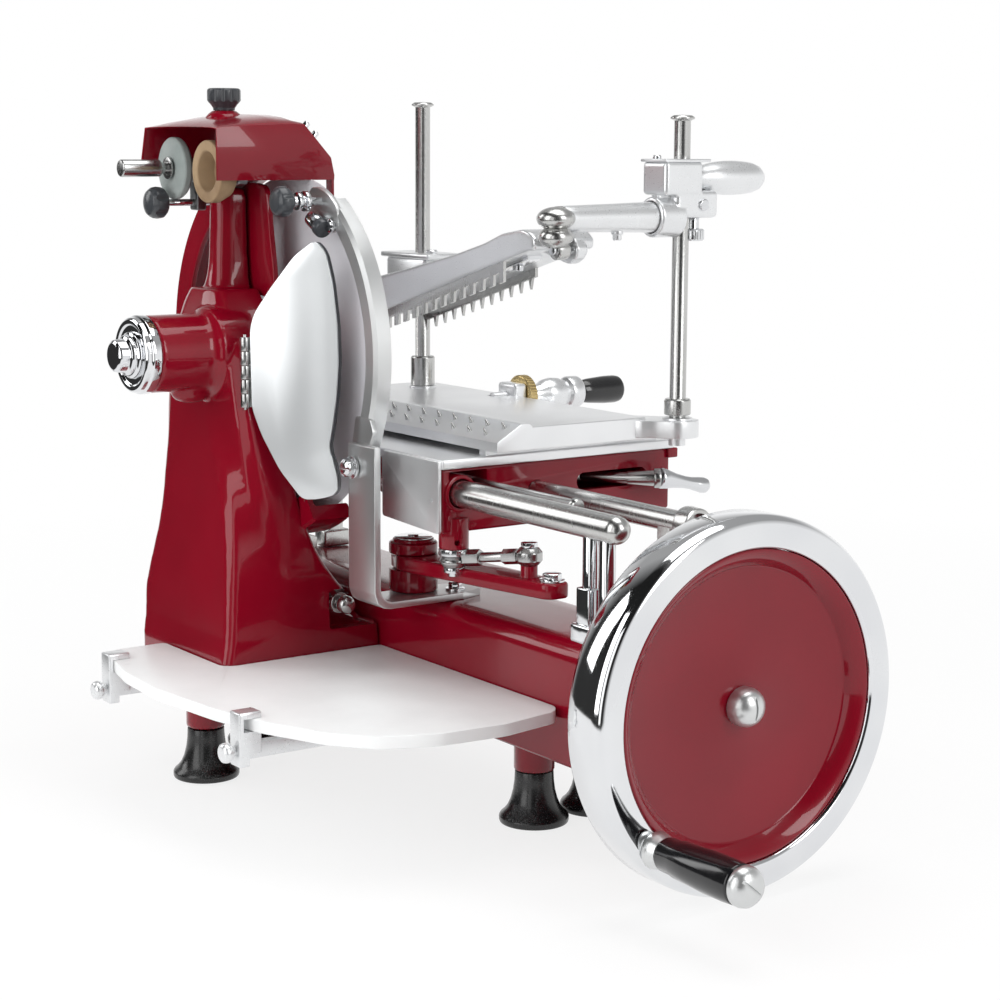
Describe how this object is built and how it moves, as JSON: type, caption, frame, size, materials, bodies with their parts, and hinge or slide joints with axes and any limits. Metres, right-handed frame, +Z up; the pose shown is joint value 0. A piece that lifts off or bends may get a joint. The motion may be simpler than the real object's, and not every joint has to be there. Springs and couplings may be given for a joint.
{
  "type": "hand crank meat slicer",
  "caption": "Free-standing manual slicer: a crank flywheel turns a round blade beside a sliding carriage with a meat table, toothed press, slice deflector and lift-up sharpener.",
  "frame": {"origin": "bottom centre of the bounding box: on the floor plane under the middle of the machine", "axes": "+X along the main shaft towards the flywheel, +Y from the blade towards the meat table, +Z up"},
  "size_m": [0.798, 0.5322, 0.606],
  "materials": {
    "red_enamel": "deep glossy red enamel on castings",
    "red_sheet": "glossy red painted sheet",
    "chrome": "bright polished",
    "steel": "machined bright steel",
    "cast_aluminium": "satin polished aluminium",
    "black_rubber": "matt black rubber",
    "black_plastic": "glossy black",
    "white_plastic": "satin white",
    "brass": "satin brass",
    "grey_abrasive": "fine grey grit",
    "brown_abrasive": "brown grit"
  },
  "bodies": {
    "frame": {"bed_casting": "red_enamel", "column_casting": "red_enamel", "rubber_foot_1": "black_rubber", "rubber_foot_2": "black_rubber", "rubber_foot_3": "black_rubber", "rubber_foot_4": "black_rubber", "slice_tray": "white_plastic", "tray_clamp_1": "cast_aluminium", "tray_clamp_2": "cast_aluminium", "guide_rod": "chrome", "guide_post": "chrome", "rear_rail": "chrome", "guard_bracket": "steel", "ring_guard": "chrome", "guard_knob": "black_plastic", "blade_guard": "red_enamel", "hub_cap": "chrome", "shaft_bearing_front": "steel", "shaft_bearing_rear": "steel", "shaft_bearing_main": "brass", "drive_chain": "steel", "hinge_leaf": "steel", "pivot_cylinder": "red_enamel"},
    "flywheel": {"flywheel_rim": "chrome", "flywheel_dish": "red_enamel", "main_shaft": "steel", "handle_spindle": "chrome"},
    "wheel_grip": {"handle_grip": "black_plastic"},
    "cross_drive": {"cross_shaft": "steel"},
    "blade_unit": {"blade_shaft": "steel", "blade": "chrome", "blade_clamp_plate": "steel"},
    "deflector": {"deflector_plate": "chrome"},
    "sharpener_lift": {"lift_knob": "black_plastic"},
    "sharpener_head": {"sharpener_carrier": "cast_aluminium", "sharpener_hood": "red_sheet"},
    "grinding_stone": {"grey_stone": "grey_abrasive"},
    "honing_cup": {"cup_wheel": "brown_abrasive"},
    "stone_pusher": {"press_knob": "black_plastic"},
    "carriage": {"carriage_casting": "red_enamel", "carriage_plate": "cast_aluminium", "link_lug": "red_enamel"},
    "feed_release": {"release_lever": "steel"},
    "table": {"meat_table": "cast_aluminium", "inner_post": "chrome", "outer_post": "chrome"},
    "feed_crank": {"crank_arm": "steel", "dial_ring": "brass"},
    "crank_handle": {"crank_grip": "black_plastic"},
    "hold_arm": {"hold_sleeve": "cast_aluminium", "arm_tube": "chrome", "arm_knuckle": "chrome"},
    "press": {"press_casting": "cast_aluminium", "square_comb": "steel", "pointed_comb": "steel"},
    "press_guide": {"post_guide": "cast_aluminium"},
    "swing_link": {"swing_arm": "red_enamel"},
    "tie_link": {"link_rod": "steel"}
  },
  "joints": [
    {"name": "flywheel_spin", "type": "hinge", "parent": "frame", "child": "flywheel", "pos_m": [0.26698, 0.01185, 0.148], "axis": [1, 0, 0], "continuous": true},
    {"name": "wheel_grip_spin", "type": "hinge", "parent": "flywheel", "child": "wheel_grip", "pos_m": [0.34698, -0.07795, 0.0582], "axis": [1, 0, 0], "continuous": true},
    {"name": "cross_shaft_spin", "type": "hinge", "parent": "frame", "child": "cross_drive", "pos_m": [-0.23302, -0.06815, 0.148], "axis": [0, 1, 0], "continuous": true},
    {"name": "blade_spin", "type": "hinge", "parent": "frame", "child": "blade_unit", "pos_m": [-0.23302, -0.06815, 0.376], "axis": [0, 1, 0], "continuous": true},
    {"name": "deflector_swing", "type": "hinge", "parent": "frame", "child": "deflector", "pos_m": [-0.17852, -0.14715, 0.362], "axis": [0, 0, 1], "range_deg": [-95, 0]},
    {"name": "sharpener_raise", "type": "slide", "parent": "frame", "child": "sharpener_lift", "axis": [0, 0, 1], "range_m": [0, 0.03]},
    {"name": "sharpener_turn", "type": "hinge", "parent": "sharpener_lift", "child": "sharpener_head", "pos_m": [-0.26702, -0.11615, 0.53], "axis": [0, 0, 1], "range_deg": [-8, 8]},
    {"name": "stone_spin", "type": "hinge", "parent": "sharpener_head", "child": "grinding_stone", "pos_m": [-0.30302, -0.14615, 0.531], "axis": [0, 1, 0], "continuous": true},
    {"name": "cup_spin", "type": "hinge", "parent": "sharpener_head", "child": "honing_cup", "pos_m": [-0.23302, -0.13915, 0.529], "axis": [0, 1, 0], "continuous": true},
    {"name": "stone_push", "type": "slide", "parent": "sharpener_head", "child": "stone_pusher", "axis": [0, 1, 0], "range_m": [-0.006, 0]},
    {"name": "carriage_slide", "type": "slide", "parent": "frame", "child": "carriage", "axis": [1, 0, 0], "range_m": [-0.18, 0.12]},
    {"name": "release_swing", "type": "hinge", "parent": "carriage", "child": "feed_release", "pos_m": [-0.05102, 0.10385, 0.268], "axis": [0, 0, 1], "range_deg": [-20, 11]},
    {"name": "table_feed", "type": "slide", "parent": "carriage", "child": "table", "axis": [0, 1, 0], "range_m": [-0.04, 0]},
    {"name": "crank_turn", "type": "hinge", "parent": "table", "child": "feed_crank", "pos_m": [-0.19302, 0.16185, 0.322], "axis": [0, 1, 0], "range_deg": [-3600, 0]},
    {"name": "crank_grip_spin", "type": "hinge", "parent": "feed_crank", "child": "crank_handle", "pos_m": [-0.19302, 0.23185, 0.322], "axis": [0, 1, 0], "continuous": true},
    {"name": "arm_height", "type": "slide", "parent": "table", "child": "hold_arm", "axis": [0, 0, 1], "range_m": [-0.05, 0.03]},
    {"name": "press_tilt", "type": "hinge", "parent": "hold_arm", "child": "press", "pos_m": [0.02198, 0.02985, 0.469], "axis": [0, 1, 0], "range_deg": [0, 4]},
    {"name": "guide_height", "type": "slide", "parent": "table", "child": "press_guide", "axis": [0, 0, 1], "range_m": [-0.05, 0.03]},
    {"name": "swing_arm_turn", "type": "hinge", "parent": "frame", "child": "swing_link", "pos_m": [-0.10102, -0.02815, 0.2], "axis": [0, 0, 1], "range_deg": [-15, 15]},
    {"name": "link_rod_turn", "type": "hinge", "parent": "swing_link", "child": "tie_link", "pos_m": [0.04098, -0.00815, 0.224], "axis": [0, 0, 1], "range_deg": [-12, 12]}
  ],
  "couplings": [
    {"joint": "cross_shaft_spin", "follows": "flywheel_spin", "ratio": 1},
    {"joint": "blade_spin", "follows": "flywheel_spin", "ratio": 2},
    {"joint": "crank_turn", "follows": "table_feed", "rad_per_m": 1570.8},
    {"joint": "guide_height", "follows": "arm_height", "ratio": 1}
  ]
}
